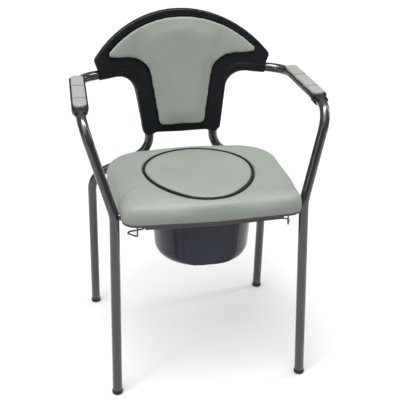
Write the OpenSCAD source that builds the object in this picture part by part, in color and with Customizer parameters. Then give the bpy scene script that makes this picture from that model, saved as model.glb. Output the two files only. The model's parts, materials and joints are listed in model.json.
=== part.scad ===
// Commode chair: bent tube frame, padded seat with a lift-out plug, sliding pan,
// curved padded backrest and arm pads. Millimetres, +Z up, the sitter faces -Y.
// The origin is on the floor in the middle of the chair.

/* [Frame] */
// outside diameter of the bent steel tube
tube_d = 22; // [20:0.5:23]
// wall thickness of the bent tube
tube_wall = 1.5; // [1:0.1:2.5]
// centreline radius of every bend
bend_r = 60; // [50:1:64]
// diameter of the straight tubes under the seat
cross_d = 16; // [12:0.5:17]
// half distance between the front feet
front_foot_x = 219.3; // [205:0.5:235]
// half distance between the rear feet
rear_foot_x = 227; // [215:0.5:240]
// distance from the front feet back to the rear feet
foot_base = 429; // [400:1:460]

/* [Seat] */
// height of the seat's top face
seat_h = 484; // [440:1:540]
// half width of the seat cushion
seat_half_w = 206; // [203:0.5:208]
// height of the cushion's upholstered edge
seat_edge = 43; // [40:0.5:46]
// half width of the lift-out plug, which is also the radius of its rear end
plug_half_w = 125; // [122:0.5:127]
// radius of the plug's narrower front end
plug_nose_r = 83; // [76:1:90]
// radius of the cord sewn round the plug
piping_r = 2.2; // [1.5:0.1:2.4]
// radius of the opening under the plug
opening_r = 102; // [90:1:103]

/* [Backrest] */
// lean of the backrest in degrees
back_lean = 6; // [4:0.5:8]
// radius of the backrest's curve seen from above
back_r = 500; // [460:5:600]
// radius of the arched top edge
arch_r = 262; // [255:1:268]
// width of the rim round the pad
rim_w = 16; // [12:0.5:20]
// half thickness of the backrest shell
shell_t = 13; // [12:0.5:14]
// thickness of the backrest pad
back_pad_t = 12; // [8:0.5:16]

/* [Arm pads] */
// length of an arm pad
arm_len = 201; // [180:1:205]
// width of an arm pad's soft top
arm_w = 31; // [28:0.5:34]
// thickness of the soft part
arm_soft = 9; // [6:0.5:12]

/* [Pan] */
// outside radius of the pan just under its rim
pan_r = 117; // [110:0.5:118]
// depth of the pan
pan_depth = 127; // [100:1:140]
// wall thickness of the pan
pan_wall = 2; // [1.5:0.1:3]
// diameter of the wire rails
wire_d = 4; // [3:0.1:4.2]

/* [Hidden] */
$fn = 64;
gap = 0.3;
// a bend comes out of the die a little fatter than the straights
bend_swell = 1.018;
foot_r = tube_d / 2 + 1.2;
seat_front = -46;
fy = -(foot_base + foot_r + seat_front) / 2;
tube_r = tube_d / 2;
// corners of the right-hand side tube, measured from the front feet
knee = [211.7, 14.5, seat_h - 39];
arm_front = [269.3, 54, seat_h + 161.5];
arm_rear = [256.9, 335, seat_h + 172.5];
wing_turn = [109, 386, seat_h + 180];
back_foot = [74, 371.6, seat_h - 29];
leg_top = [226.5, 395.5, seat_h - 100];
side_path = [
    [front_foot_x, -0.2, 3],
    knee,
    arm_front,
    arm_rear,
    wing_turn,
    back_foot,
    leg_top,
    [rear_foot_x, foot_base - 0.3, 3]
];
cross_z = seat_h - 40.1;
cross_r = cross_d / 2;
rear_cross_y = 354;
rail_x = 112;
board_z = seat_h - 32;
board_t = 8;
plug_y = 162;
plug_front = -17;
nose_y = plug_front + plug_nose_r;
// the plug's long sides are arcs that meet both ends smoothly
side_r = (pow(plug_y - nose_y, 2) + pow(plug_half_w, 2) - pow(plug_nose_r, 2))
    / (2 * (plug_half_w - plug_nose_r));
side_turn = atan((plug_y - nose_y) / (side_r - plug_half_w));
open_y = 124;
liner_top = board_z + board_t + 2;
plug_z = liner_top + gap;
pan_y = 118;
pan_top = board_z - 25.5;
facet = 0.853;
wire_z = pan_top - 3.3 - wire_d / 2;
back_o = [0, 381, seat_h + 21];
arch_z = 33;
arm_yaw = atan2(arm_front[0] - arm_rear[0], arm_rear[1] - arm_front[1]);
arm_pitch = atan2(arm_rear[2] - arm_front[2], arm_rear[1] - arm_front[1]);
arm_step = 58;
screw_r = 3;
soft_steps = [[seat_edge, 0], [21, 0], [13, 1.5], [8, 4.5], [4, 9], [1.7, 15], [0.5, 24]];
back_screws = [[46, 34], [50, 140], [120, 205]];

function unit(v) = v / norm(v);
function dir(p, i) = unit(p[i + 1] - p[i]);
function corner(p, i) = acos(dir(p, i - 1) * dir(p, i));
function trim(p, i, rad) =
    i <= 0 || i >= len(p) - 1 ? 0 : rad * tan(corner(p, i) / 2);

function flipped(p) = [for (q = p) [-q[0], q[1], q[2]]];

module at_feet() {
    translate([0, fy, 0])
        children();
}

module flip() {
    mirror([1, 0, 0])
        children();
}

module both() {
    children();
    flip()
        children();
}

// a straight round bar from a to b
module bar(a, b, r) {
    d = b - a;
    translate(a)
        rotate([0, acos(d[2] / norm(d)), atan2(d[1], d[0])])
            cylinder(r = r, h = norm(d));
}

// how far a straight runs into the bend at corner i, nothing at a free end
function lap(p, i) = i <= 0 || i >= len(p) - 1 ? 0 : 0.2;

// a round bar that follows the corners in p, bent to radius rad at each one
module bent_bar(p, rad, r) {
    for (i = [0:len(p) - 2])
        bar(
            p[i] + dir(p, i) * (trim(p, i, rad) - lap(p, i)),
            p[i + 1] - dir(p, i) * (trim(p, i + 1, rad) - lap(p, i + 1)),
            r
        );
    for (i = [1:len(p) - 2]) {
        u = dir(p, i - 1);
        n = unit(cross(u, dir(p, i)));
        w = cross(n, u);
        c = p[i] - u * trim(p, i, rad) + w * rad;
        multmatrix([
            [-w[0], u[0], n[0], c[0]],
            [-w[1], u[1], n[1], c[1]],
            [-w[2], u[2], n[2], c[2]],
            [0, 0, 0, 1]
        ])
            rotate_extrude(angle = corner(p, i))
                translate([rad, 0])
                    circle(r = r * bend_swell);
    }
}

// ---------- tube frame ----------

module side_tube(path) {
    difference() {
        bent_bar(path, bend_r, tube_r);
        bent_bar(path, bend_r, tube_r - tube_wall);
        both()
            arm_place()
                for (y = [arm_step, arm_len - arm_step])
                    translate([0, y, -tube_r - 1])
                        cylinder(r = 2.3, h = tube_d + 2);
    }
}

module left_side_tube() {
    color([0.2, 0.2, 0.21])
        at_feet()
            side_tube(flipped(side_path));
}

module right_side_tube() {
    color([0.2, 0.2, 0.21])
        at_feet()
            side_tube(side_path);
}

// the straight members butt against the side tubes with coped ends
module front_cross_tube() {
    color([0.2, 0.2, 0.21])
        at_feet()
            difference() {
                bar([-204, 10, cross_z], [204, 10, cross_z], cross_r);
                both()
                    bent_bar([side_path[0], knee, arm_front], bend_r, tube_r + 0.05);
                bar([-190, 10, cross_z], [190, 10, cross_z], cross_r - 1.2);
            }
}

module rear_cross_tube() {
    color([0.2, 0.2, 0.21])
        at_feet()
            difference() {
                bar([-rail_x - 8, rear_cross_y, cross_z], [rail_x + 8, rear_cross_y, cross_z], cross_r);
                both()
                    bent_bar([wing_turn, back_foot, leg_top], bend_r, tube_r + 0.05);
                bar([-85, rear_cross_y, cross_z], [85, rear_cross_y, cross_z], cross_r - 1.2);
            }
}

module seat_rail_right() {
    difference() {
        bar([rail_x, 10, cross_z], [rail_x, rear_cross_y, cross_z], cross_r - 0.2);
        bar([rail_x - 20, 10, cross_z], [rail_x + 20, 10, cross_z], cross_r + 0.05);
        bar([rail_x - 20, rear_cross_y, cross_z], [rail_x + 20, rear_cross_y, cross_z], cross_r + 0.05);
        bar([rail_x, 22, cross_z], [rail_x, rear_cross_y - 12, cross_z], cross_r - 1.5);
        for (y = [44, 262])
            translate([rail_x, y, cross_z - 12])
                cylinder(r = screw_r + 0.15, h = 24);
    }
}

module left_seat_rail() {
    color([0.2, 0.2, 0.21])
        at_feet()
            flip()
                seat_rail_right();
}

module right_seat_rail() {
    color([0.2, 0.2, 0.21])
        at_feet()
            seat_rail_right();
}

// an upright cap round the end of a leg, with a plug that goes up inside the tube
module foot(low, high) {
    mid = low + unit(high - low) * 2.5;
    inner = tube_r - tube_wall - 0.9;
    translate([mid[0], mid[1], 0])
        rotate_extrude()
            polygon([
                [0, 0],
                [foot_r - 3, 0],
                [foot_r - 0.9, 0.9],
                [foot_r, 3],
                [foot_r, 9],
                [tube_r + gap, 9],
                [tube_r + gap, 1.9],
                [inner, 1.9],
                [inner, 12],
                [0, 12]
            ]);
}

module front_right_foot() {
    color([0.1, 0.1, 0.11])
        at_feet()
            foot(side_path[0], knee);
}

module front_left_foot() {
    color([0.1, 0.1, 0.11])
        at_feet()
            flip()
                foot(side_path[0], knee);
}

module rear_right_foot() {
    color([0.1, 0.1, 0.11])
        at_feet()
            foot(side_path[7], leg_top);
}

module rear_left_foot() {
    color([0.1, 0.1, 0.11])
        at_feet()
            flip()
                foot(side_path[7], leg_top);
}

// ---------- backrest ----------

module back_place() {
    translate(back_o)
        rotate([-back_lean, 0, 0])
            children();
}

// the curved layer between two offsets from the middle surface, rear positive
module layer(a, b) {
    translate([0, -back_r, -30])
        difference() {
            cylinder(r = back_r + b, h = 360, $fn = 180);
            translate([0, 0, -1])
                cylinder(r = back_r + a, h = 362, $fn = 180);
        }
}

module sheet(depth) {
    translate([0, 60, 0])
        rotate([90, 0, 0])
            linear_extrude(depth)
                children();
}

// arched top with two wings over a narrow waist
module back_outline() {
    offset(r = 7, $fn = 40)
        offset(delta = -7)
            offset(r = -42, $fn = 72)
                offset(delta = 42) {
                    intersection() {
                        translate([0, arch_z])
                            circle(r = arch_r, $fn = 160);
                        polygon([[-215, 189], [-199, 144], [-120, 152], [120, 152], [199, 144], [215, 189],
                            [240, 320], [-240, 320]]);
                    }
                    polygon([[-97, -4], [-117, 152], [117, 152], [97, -4], [50, -6.5], [0, -8], [-50, -6.5]]);
                }
}

module back_pad_outline() {
    offset(r = 9, $fn = 40)
        offset(delta = -9)
            offset(r = -55, $fn = 72)
                offset(delta = 55) {
                    intersection() {
                        translate([0, arch_z])
                            circle(r = arch_r - rim_w, $fn = 160);
                        polygon([[-186, 190], [-120, 185], [120, 185], [186, 190], [200, 320], [-200, 320]]);
                    }
                    polygon([[-57, 14], [-83, 187], [83, 187], [57, 14], [30, 12], [-30, 12]]);
                }
}

// raised sleeves where the side tubes run inside the shell
module sleeves(r) {
    both()
        intersection() {
            bent_bar([arm_rear, wing_turn, back_foot], bend_r, r);
            translate([0, 300, seat_h + 12])
                cube([204, 140, 220]);
        }
}

module tube_channels() {
    both()
        bent_bar([arm_front, arm_rear, wing_turn, back_foot, leg_top], bend_r, tube_r + 0.1);
}

module backrest_frame() {
    color([0.08, 0.09, 0.1])
        at_feet()
            difference() {
                union() {
                    back_place()
                        intersection() {
                            layer(-shell_t, -0.1);
                            sheet(140)
                                back_outline();
                        }
                    intersection() {
                        sleeves(tube_r + 3);
                        back_place()
                            layer(-30, -0.1);
                    }
                }
                tube_channels();
                back_place()
                    intersection() {
                        layer(-30, -shell_t + 4.2);
                        sheet(140)
                            offset(delta = -3)
                                back_pad_outline();
                    }
                back_place()
                    both()
                        for (s = back_screws)
                            translate([s[0], -60, s[1]])
                                rotate([-90, 0, 0])
                                    cylinder(r = screw_r + 0.1, h = 90);
            }
}

module backrest_rear_cover() {
    color([0.08, 0.09, 0.1])
        at_feet()
            difference() {
                union() {
                    back_place()
                        intersection() {
                            layer(0.1, shell_t);
                            sheet(140)
                                back_outline();
                        }
                    intersection() {
                        sleeves(tube_r + 3);
                        back_place()
                            layer(0.1, 30);
                    }
                }
                tube_channels();
                back_place()
                    both()
                        for (s = back_screws)
                            translate([s[0], -60, s[1]])
                                rotate([-90, 0, 0]) {
                                    cylinder(r = screw_r + 0.1, h = 90);
                                    translate([0, 0, 60 + head_y(s[0])])
                                        cylinder(r = 6.3, h = 30);
                                }
            }
}

// where a screw head sits below the rear face at a distance x from the middle
function head_y(x) = sqrt(pow(back_r, 2) - x * x) - back_r + shell_t - 4;

module backrest_board() {
    color([0.25, 0.2, 0.15])
        at_feet()
            difference() {
                back_place()
                    intersection() {
                        layer(-shell_t, -shell_t + 4);
                        sheet(140)
                            offset(delta = -3.4)
                                back_pad_outline();
                    }
                back_place()
                    both()
                        for (s = back_screws)
                            translate([s[0], -60, s[1]])
                                rotate([-90, 0, 0])
                                    cylinder(r = screw_r + 0.1, h = 90);
            }
}

module backrest_pad() {
    color([0.66, 0.69, 0.65])
        at_feet()
            back_place()
                intersection() {
                    layer(-shell_t - back_pad_t, -shell_t - 0.1);
                    sheet(140)
                        back_pad_outline();
                }
}

module backrest_screws() {
    color([0.5, 0.5, 0.52])
        at_feet()
            back_place()
                both()
                    for (s = back_screws)
                        translate([s[0], head_y(s[0]), s[1]])
                            rotate([90, 0, 0]) {
                                cylinder(r = screw_r, h = 2 * shell_t - 5);
                                translate([0, 0, -3])
                                    cylinder(r = 5.8, h = 3);
                            }
}

// ---------- seat ----------

module seat_outline() {
    hull()
        both() {
            translate([164, -3])
                circle(r = 35, $fn = 48);
            translate([seat_half_w - 98, 214])
                circle(r = 98, $fn = 72);
            for (i = [0:2])
                translate([i * 52, seat_front + 8 + i * i * 1.7])
                    circle(r = 8, $fn = 24);
        }
}

function arc(c, r, from, to, n) =
    [for (i = [0:n]) c + r * [cos(from + (to - from) * i / n), sin(from + (to - from) * i / n)]];

// the plug's egg shape, grown by d: a round rear end, two long side arcs, a narrower nose
module plug_outline(d) {
    a = side_turn;
    out = side_r - plug_half_w;
    polygon(concat(
        arc([0, plug_y], plug_half_w + d, 0, 180, 60),
        arc([out, plug_y], side_r + d, 180.5, 180 + a, 24),
        arc([0, nose_y], plug_nose_r + d, 181 + a, 359 - a, 30),
        arc([-out, plug_y], side_r + d, 360 - a, 359.5, 24)
    ));
}

// room under the seat's edge for the cross tube and the two rails
module frame_notches() {
    low = seat_h - seat_edge - 12;
    both() {
        translate([150, 10 - cross_r - 0.6, low])
            cube([80, 2 * cross_r + 1.2, board_z - low]);
        translate([rail_x - cross_r - 0.4, 285, low])
            cube([2 * cross_r + 0.8, 45, board_z - low]);
    }
}

module seat_base() {
    lip_z = seat_h - seat_edge - 4;
    color([0.08, 0.08, 0.09])
        at_feet()
            difference() {
                union() {
                    translate([0, 0, lip_z])
                        linear_extrude(3.8)
                            offset(delta = -1.2)
                                seat_outline();
                    translate([0, 0, lip_z + 1])
                        linear_extrude(board_z + board_t - lip_z - 1)
                            offset(delta = -9)
                                seat_outline();
                    translate([0, 0, lip_z - 7])
                        linear_extrude(9)
                            difference() {
                                offset(delta = -4)
                                    seat_outline();
                                offset(delta = -9)
                                    seat_outline();
                                translate([-250, -8])
                                    square([500, 400]);
                                both()
                                    translate([152, -100])
                                        square([100, 300]);
                            }
                }
                translate([0, 0, lip_z - 8])
                    linear_extrude(board_z - lip_z + 8)
                        offset(delta = -13)
                            seat_outline();
                frame_notches();
                translate([0, open_y, board_z - 20])
                    cylinder(r = opening_r, h = 50, $fn = 96);
                for (x = [-rail_x, rail_x], y = [44, 262])
                    translate([x, y, board_z - 1])
                        cylinder(r = screw_r + 0.1, h = 7.3);
            }
}

module seat_cushion() {
    color([0.66, 0.69, 0.65])
        at_feet()
            difference() {
                hull()
                    for (s = soft_steps)
                        translate([0, 0, seat_h - s[0]])
                            linear_extrude(0.5)
                                offset(delta = -s[1])
                                    seat_outline();
                translate([0, 0, seat_h - 60])
                    linear_extrude(board_z + board_t + 0.2 - seat_h + 60)
                        offset(delta = -8.5)
                            seat_outline();
                frame_notches();
                translate([0, 0, seat_h - 60])
                    linear_extrude(90)
                        plug_outline(piping_r + 0.6);
            }
}

// smooth ring that lines the opening and guides everything into the pan
module seat_liner() {
    color([0.12, 0.13, 0.14])
        at_feet()
            translate([0, open_y, 0])
                rotate_extrude($fn = 96)
                    polygon([
                        [opening_r - 3.2, pan_top + 2.5],
                        [opening_r - 0.3, pan_top + 2.5],
                        [opening_r - 0.3, board_z + board_t + 0.1],
                        [opening_r + 12, board_z + board_t + 0.1],
                        [opening_r + 12, liner_top],
                        [opening_r - 3.2, liner_top]
                    ]);
}

module seat_screws() {
    color([0.5, 0.5, 0.52])
        at_feet()
            for (x = [-rail_x, rail_x], y = [44, 262])
                translate([x, y, cross_z - cross_r - 2.6]) {
                    cylinder(r = screw_r, h = board_z + 6 - cross_z + cross_r + 2.6);
                    cylinder(r = 5.5, h = 2.6);
                }
}

// ---------- lift-out plug ----------

module plug_board() {
    color([0.12, 0.12, 0.13])
        at_feet() {
            translate([0, 0, plug_z])
                linear_extrude(6)
                    plug_outline(-2);
            translate([0, open_y, plug_z - 13])
                difference() {
                    cylinder(r = opening_r - 4.5, h = 13.1, $fn = 96);
                    translate([0, 0, -1])
                        cylinder(r = opening_r - 7.5, h = 14, $fn = 96);
                }
        }
}

module plug_cushion() {
    color([0.66, 0.69, 0.65])
        at_feet()
            translate([0, 0, plug_z + 6.1])
                linear_extrude(seat_h + 1 - plug_z - 6.1)
                    plug_outline(-piping_r);
}

// a length of cord bent round c, starting at an angle
module cord_arc(c, r, from, turn, thick) {
    translate([c[0], c[1], seat_h - 2])
        rotate([0, 0, from])
            rotate_extrude(angle = turn, $fn = 160)
                translate([r, 0])
                    circle(r = thick, $fn = 24);
}

module plug_piping() {
    a = side_turn;
    out = side_r - plug_half_w;
    color([0.05, 0.05, 0.06])
        at_feet() {
            cord_arc([0, plug_y], plug_half_w, 0, 180, piping_r);
            cord_arc([out, plug_y], side_r, 179.8, a + 0.4, piping_r * 0.985);
            cord_arc([0, nose_y], plug_nose_r, 180 + a, 180 - 2 * a, piping_r);
            cord_arc([-out, plug_y], side_r, 359.8 - a, a + 0.4, piping_r * 0.985);
        }
}

// ---------- arm pads ----------

// local frame on the arm tube's centreline, +Y to the rear
module arm_place() {
    translate(arm_front + unit(arm_rear - arm_front) * arm_step)
        rotate([arm_pitch, 0, arm_yaw])
            children();
}

module arm_slab(w, y0, y1, z0, z1) {
    translate([0, 0, z0])
        linear_extrude(z1 - z0)
            hull()
                for (x = [-1, 1], y = [y0 + 9, y1 - 9])
                    translate([x * (w / 2 - 9), y])
                        circle(r = 9, $fn = 48);
}

// the arm tube's own path, with the bends before and after the pad
module arm_channel(r) {
    bent_bar([knee, arm_front, arm_rear, wing_turn], bend_r, r);
}

// a tray with a rim round the pad, a raised bed in it and a nose under its front end
module arm_base_right() {
    difference() {
        arm_place()
            difference() {
                union() {
                    difference() {
                        arm_slab(arm_w + 6, -3, arm_len + 3, 2.5, 12.6);
                        difference() {
                            arm_slab(arm_w + 2 * gap, -gap, arm_len + gap, 9.4, 30);
                            arm_slab(arm_w - 8, 3, arm_len - 3, 5, 31);
                        }
                    }
                    intersection() {
                        translate([0, -2.5, 0])
                            rotate([-90, 0, 0])
                                cylinder(r = tube_r + 3.2, h = 22);
                        translate([-30, -10, -30])
                            cube([60, 60, 38]);
                    }
                }
                for (y = [arm_step, arm_len - arm_step])
                    translate([0, y, 8])
                        cylinder(r = 2.4, h = 10);
            }
        arm_channel(tube_r + 0.1);
    }
}

module arm_pad_right() {
    difference() {
        arm_place()
            difference() {
                arm_slab(arm_w, 0, arm_len, 9.5, 9.5 + arm_soft);
                arm_slab(arm_w - 8 + 2 * gap, 3 - gap, arm_len - 3 + gap, 5, 12.6 + gap);
            }
        arm_channel(tube_r + 0.4);
    }
}

module right_arm_base() {
    color([0.08, 0.09, 0.1])
        at_feet()
            arm_base_right();
}

module left_arm_base() {
    color([0.08, 0.09, 0.1])
        at_feet()
            flip()
                arm_base_right();
}

module right_arm_pad() {
    color([0.7, 0.73, 0.69])
        at_feet()
            arm_pad_right();
}

module left_arm_pad() {
    color([0.7, 0.73, 0.69])
        at_feet()
            flip()
                arm_pad_right();
}

module arm_screws() {
    color([0.5, 0.5, 0.52])
        at_feet()
            both()
                arm_place()
                    for (y = [arm_step, arm_len - arm_step])
                        translate([0, y, -tube_r - 2.2]) {
                            cylinder(r = 4.2, h = 2.1);
                            cylinder(r = 2.1, h = tube_d + 3.2);
                        }
}

// ---------- pan and its wire rails ----------

module pan_profile(inset) {
    r = pan_r - inset;
    low = pan_r - pan_depth * 0.082 - inset;
    c = 17 - inset;
    rotate_extrude($fn = 120)
        union() {
            polygon([
                [0, inset],
                [low - c, inset],
                [low - c, c + inset],
                [low + c * 0.082, c + inset],
                [r, pan_depth + (inset > 0 ? 1 : 0)],
                [0, pan_depth + (inset > 0 ? 1 : 0)]
            ]);
            translate([low - c, c + inset])
                circle(r = c, $fn = 60);
        }
}

// everything behind the pan's flat front, which leans with the wall
module pan_front(inset) {
    low = pan_r - pan_depth * 0.082;
    translate([0, inset - facet * low, 0])
        rotate([atan(facet * 0.082), 0, 0])
            translate([-200, 0, -20])
                cube([400, 400, pan_depth + 40]);
}

module pan() {
    color([0.13, 0.14, 0.19])
        at_feet()
            translate([0, pan_y, pan_top - pan_depth])
                difference() {
                    union() {
                        intersection() {
                            pan_profile(0);
                            pan_front(0);
                        }
                        translate([0, 0, pan_depth - 3])
                            linear_extrude(3)
                                hull()
                                    for (x = [-110, 110], y = [-90, 90])
                                        translate([x, y])
                                            circle(r = 20, $fn = 32);
                    }
                    intersection() {
                        pan_profile(pan_wall);
                        pan_front(pan_wall);
                    }
                }
}

// one wire: down from the seat base, round a three-cornered loop, then back as a rail
module pan_rail_right() {
    bent_bar([
        [166, -20, board_z - 0.3],
        [167, -18, seat_h - 76],
        [189, 36, seat_h - 90],
        [152, 8, seat_h - 72],
        [124, 30, wire_z],
        [124, 230, wire_z],
        [rail_x + 2, 240, cross_z - cross_r - 0.1]
    ], 5, wire_d / 2);
}

module right_pan_rail() {
    color([0.2, 0.2, 0.21])
        at_feet()
            pan_rail_right();
}

module left_pan_rail() {
    color([0.2, 0.2, 0.21])
        at_feet()
            flip()
                pan_rail_right();
}

module rail_clips() {
    color([0.1, 0.1, 0.11])
        at_feet()
            both()
                difference() {
                    intersection() {
                        translate([156, -28, board_z - 10])
                            cube([20, 16, 9.8]);
                        translate([0, 0, board_z - 20])
                            linear_extrude(30)
                                offset(delta = -13.5)
                                    seat_outline();
                    }
                    bar([166, -20, board_z], [167, -18, seat_h - 76], wire_d / 2 + 0.1);
                }
}

left_side_tube();
right_side_tube();
front_cross_tube();
rear_cross_tube();
left_seat_rail();
right_seat_rail();
front_left_foot();
front_right_foot();
rear_left_foot();
rear_right_foot();
backrest_frame();
backrest_rear_cover();
backrest_board();
backrest_pad();
backrest_screws();
seat_base();
seat_cushion();
seat_liner();
seat_screws();
plug_board();
plug_cushion();
plug_piping();
left_arm_base();
left_arm_pad();
right_arm_base();
right_arm_pad();
arm_screws();
pan();
left_pan_rail();
right_pan_rail();
rail_clips();
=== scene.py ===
import json
import math

import bmesh
import bpy
import numpy as np
from mathutils import Matrix, Vector
from mathutils.bvhtree import BVHTree

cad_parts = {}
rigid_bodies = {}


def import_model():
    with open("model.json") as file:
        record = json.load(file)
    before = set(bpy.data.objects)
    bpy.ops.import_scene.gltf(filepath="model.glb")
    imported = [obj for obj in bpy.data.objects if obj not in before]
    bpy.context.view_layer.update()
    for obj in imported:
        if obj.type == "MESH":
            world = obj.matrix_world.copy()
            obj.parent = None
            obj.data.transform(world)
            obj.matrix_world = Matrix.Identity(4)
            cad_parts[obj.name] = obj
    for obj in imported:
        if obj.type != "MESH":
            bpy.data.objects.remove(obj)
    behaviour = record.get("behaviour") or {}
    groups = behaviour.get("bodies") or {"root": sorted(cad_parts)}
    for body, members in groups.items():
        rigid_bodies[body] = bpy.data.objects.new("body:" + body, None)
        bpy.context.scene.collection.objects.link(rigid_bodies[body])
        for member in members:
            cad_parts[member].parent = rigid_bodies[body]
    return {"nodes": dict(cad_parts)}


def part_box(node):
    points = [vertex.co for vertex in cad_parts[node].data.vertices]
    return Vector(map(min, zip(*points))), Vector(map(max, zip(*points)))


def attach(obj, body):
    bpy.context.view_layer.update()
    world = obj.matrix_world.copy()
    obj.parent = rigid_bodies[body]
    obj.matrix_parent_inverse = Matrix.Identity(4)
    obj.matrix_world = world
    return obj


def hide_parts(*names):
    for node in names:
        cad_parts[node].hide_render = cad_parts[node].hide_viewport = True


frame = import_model()
bpy.context.view_layer.update()
SCENE = bpy.context.scene
MM = 0.001

# Depths in millimetres are measured back from the middle of the front feet.
FOOT_LOW, FOOT_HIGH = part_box("front_left_foot")
FEET_Y = (FOOT_LOW.y + FOOT_HIGH.y) / 2
# Where the two seams cross an arm pad, as shares of its length from the front, and their bow.
ARM_SEAMS = (0.222, 0.632)
SEAM_BOW = 0.0034


# ---------------------------------------------------------------- materials

class Finish:
    """A node material that is built up a layer at a time."""

    def __init__(self, name):
        self.material = bpy.data.materials.new(name)
        self.material.use_nodes = True
        self.tree = self.material.node_tree
        self.shader = self.tree.nodes["Principled BSDF"]
        self.place = self.add("ShaderNodeTexCoord").outputs["Object"]
        self.height = None

    def add(self, kind, sockets=None, **settings):
        made = self.tree.nodes.new(kind)
        for key, value in settings.items():
            setattr(made, key, value)
        for key, value in (sockets or {}).items():
            if isinstance(value, bpy.types.NodeSocket):
                self.tree.links.new(value, made.inputs[key])
            else:
                made.inputs[key].default_value = value
        return made

    def noise(self, scale, detail=4.0, roughness=0.55, stretch=None):
        place = self.place
        if stretch:
            place = self.add("ShaderNodeMapping", {"Vector": place, "Scale": stretch}).outputs[0]
        sockets = {"Vector": place, "Scale": scale, "Detail": detail, "Roughness": roughness}
        return self.add("ShaderNodeTexNoise", sockets).outputs["Fac"]

    def cells(self, scale, feature="F1", randomness=1.0):
        sockets = {"Vector": self.place, "Scale": scale, "Randomness": randomness}
        made = self.add("ShaderNodeTexVoronoi", sockets, feature=feature)
        return made.outputs["Distance"]

    def levels(self, value, low, high, to_low=0.0, to_high=1.0):
        sockets = {"Value": value, "From Min": low, "From Max": high,
                   "To Min": to_low, "To Max": to_high}
        return self.add("ShaderNodeMapRange", sockets).outputs["Result"]

    def math(self, operation, a, b):
        made = self.add("ShaderNodeMath", operation=operation)
        for socket, value in zip(made.inputs, (a, b)):
            if isinstance(value, bpy.types.NodeSocket):
                self.tree.links.new(value, socket)
            else:
                socket.default_value = value
        return made.outputs[0]

    def blend(self, factor, first, second, mode="MIX"):
        made = self.add("ShaderNodeMix", data_type="RGBA", blend_type=mode)
        for socket, value in ((made.inputs[0], factor), (made.inputs[6], first), (made.inputs[7], second)):
            if isinstance(value, bpy.types.NodeSocket):
                self.tree.links.new(value, socket)
            elif isinstance(value, (int, float)):
                socket.default_value = value
            else:
                socket.default_value = (*value, 1.0)
        return made.outputs[2]

    def bump(self, height, strength, distance):
        sockets = {"Height": height, "Strength": strength, "Distance": distance}
        if self.height is not None:
            sockets["Normal"] = self.height
        self.height = self.add("ShaderNodeBump", sockets).outputs["Normal"]
        self.tree.links.new(self.height, self.shader.inputs["Normal"])

    def set(self, name, value):
        socket = self.shader.inputs[name]
        if isinstance(value, bpy.types.NodeSocket):
            self.tree.links.new(value, socket)
        elif isinstance(value, tuple) and len(value) == 3:
            socket.default_value = (*value, 1.0)
        else:
            socket.default_value = value


def vinyl(name, light, dark, grain=520.0, sheen=0.10):
    """Coated upholstery cloth: pebbled grain, cloudy tone, rubbed sheen."""
    f = Finish(name)
    cloud = f.levels(f.noise(7.0, 3.0), 0.32, 0.68)
    tone = f.blend(cloud, light, dark)
    pores = f.levels(f.cells(grain), 0.0, 0.55)
    tone = f.blend(f.levels(pores, 0.0, 1.0, 0.10, 0.0), tone, tuple(c * 0.55 for c in dark))
    rubbed = f.levels(f.noise(26.0, 5.0, 0.65), 0.42, 0.66)
    tone = f.blend(f.math("MULTIPLY", rubbed, 0.18), tone, tuple(min(1.0, c * 1.12) for c in light))
    f.set("Base Color", tone)
    f.set("Roughness", f.levels(f.noise(60.0, 4.0), 0.3, 0.7, 0.48, 0.62))
    f.set("Specular IOR Level", 0.34)
    f.set("Sheen Weight", sheen)
    f.set("Sheen Roughness", 0.5)
    f.bump(f.noise(140.0, 3.0), 0.04, 0.0006)
    f.bump(pores, 0.16, 0.0002)
    f.bump(f.noise(1500.0, 2.0), 0.12, 0.00008)
    return f.material


def paint(name, base, rough, glint_fleck=0.5):
    """Baked epoxy powder on steel: orange peel, fine pale flecks that are painted glints of its metal
    flakes, handled sheen.
    """
    f = Finish(name)
    patch = f.levels(f.noise(9.0, 4.0), 0.35, 0.65)
    tone = f.blend(patch, base, tuple(c * 0.82 for c in base))
    # painted glints: sparse pale flecks put into the colour for the sparkle of the paint's metal flakes
    flake_glints = f.levels(f.cells(1100.0), 0.0, 0.16, 1.0, 0.0)
    seldom = f.levels(f.noise(330.0, 2.0), 0.52, 0.62)
    tone = f.blend(f.math("MULTIPLY", f.math("MULTIPLY", flake_glints, seldom), glint_fleck), tone, (0.34, 0.34, 0.36))
    f.set("Base Color", tone)
    f.set("Metallic", 0.2)
    f.set("Specular IOR Level", 0.7)
    f.set("Roughness", f.levels(f.noise(38.0, 5.0), 0.3, 0.7, rough - 0.04, rough + 0.06))
    f.set("Coat Weight", 0.7)
    f.set("Coat Roughness", 0.10)
    f.bump(f.noise(520.0, 2.0), 0.05, 0.0002)
    f.bump(f.noise(40.0, 3.0), 0.03, 0.0005)
    return f.material


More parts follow.
